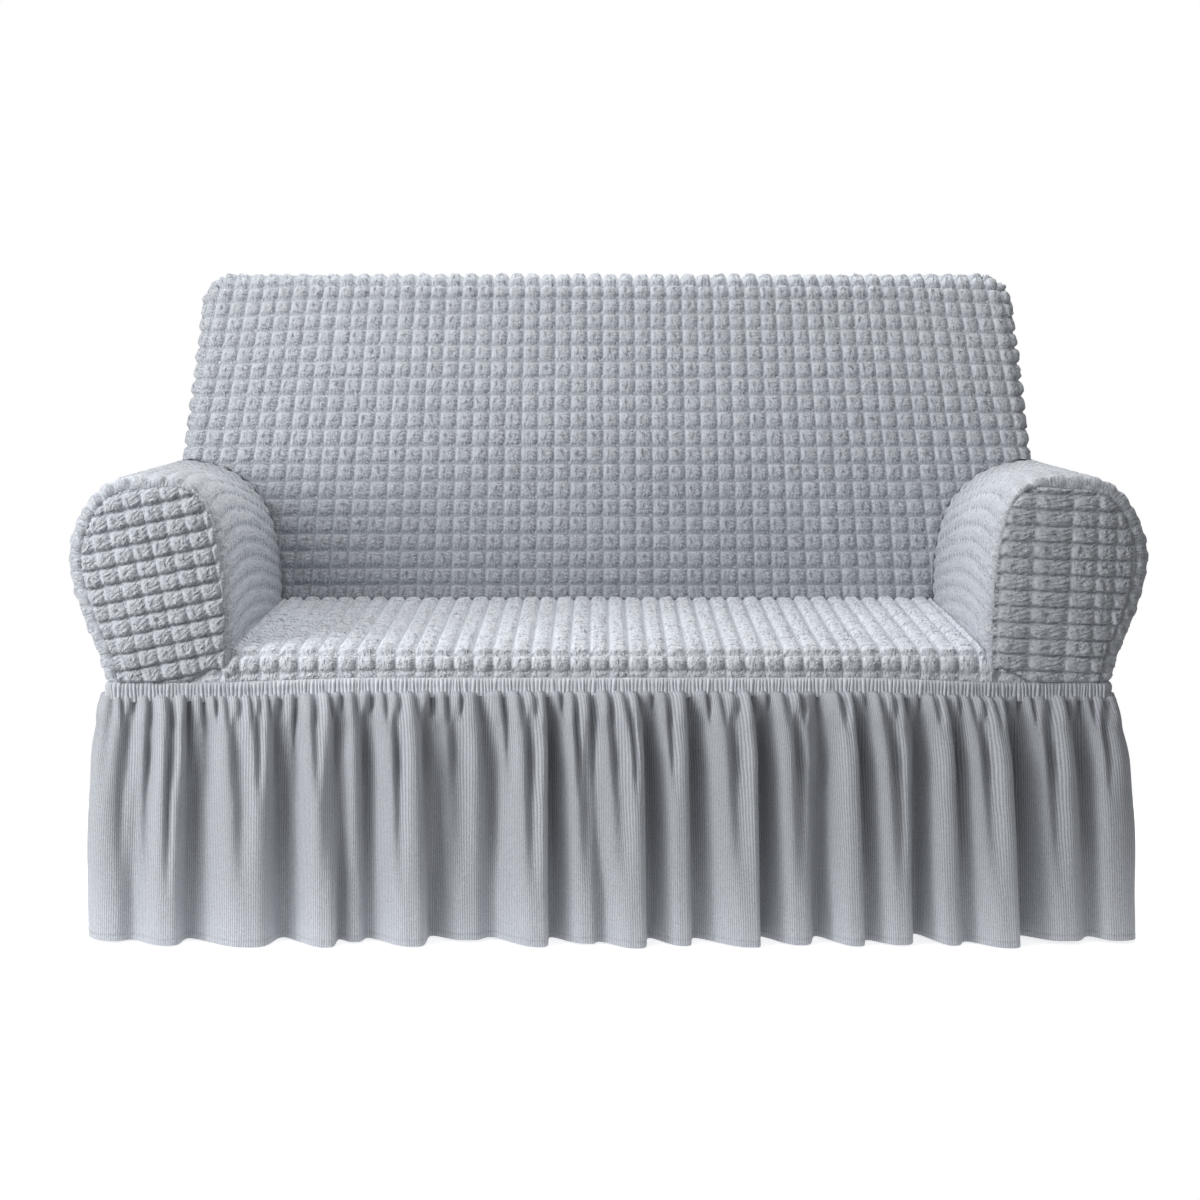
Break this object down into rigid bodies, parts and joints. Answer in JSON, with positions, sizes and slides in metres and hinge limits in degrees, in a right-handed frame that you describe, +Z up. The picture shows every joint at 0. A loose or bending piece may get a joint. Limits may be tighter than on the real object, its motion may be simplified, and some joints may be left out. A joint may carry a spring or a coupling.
{
  "type": "fitted sofa slipcover",
  "caption": "Fitted stretch cover for a two-seat sofa: bubble cloth over back, seat and rolled arms, with a shirred heading and a gathered skirt.",
  "frame": {"origin": "on the floor, under the middle of the cover's box", "axes": "+X to the viewer's right along the sofa, -Y to the front, +Z up"},
  "size_m": [1.517, 0.9608, 0.9451],
  "materials": {
    "bubble_cloth": "matt crinkled stretch cloth of square bubbles, light blue-grey",
    "heading_elastic": "matt knit shirred on elastic, light blue-grey",
    "skirt_knit": "matt fine-ribbed knit, light blue-grey"
  },
  "bodies": {
    "root": {"inside_back": "bubble_cloth", "outside_back": "bubble_cloth", "seat": "bubble_cloth", "arm_wrap_left": "bubble_cloth", "arm_wrap_right": "bubble_cloth", "arm_front_left": "bubble_cloth", "arm_front_right": "bubble_cloth", "heading_front": "heading_elastic", "heading_left": "heading_elastic", "heading_right": "heading_elastic", "heading_back": "heading_elastic", "skirt_front": "skirt_knit", "skirt_left": "skirt_knit", "skirt_right": "skirt_knit", "skirt_back": "skirt_knit"}
  },
  "joints": []
}
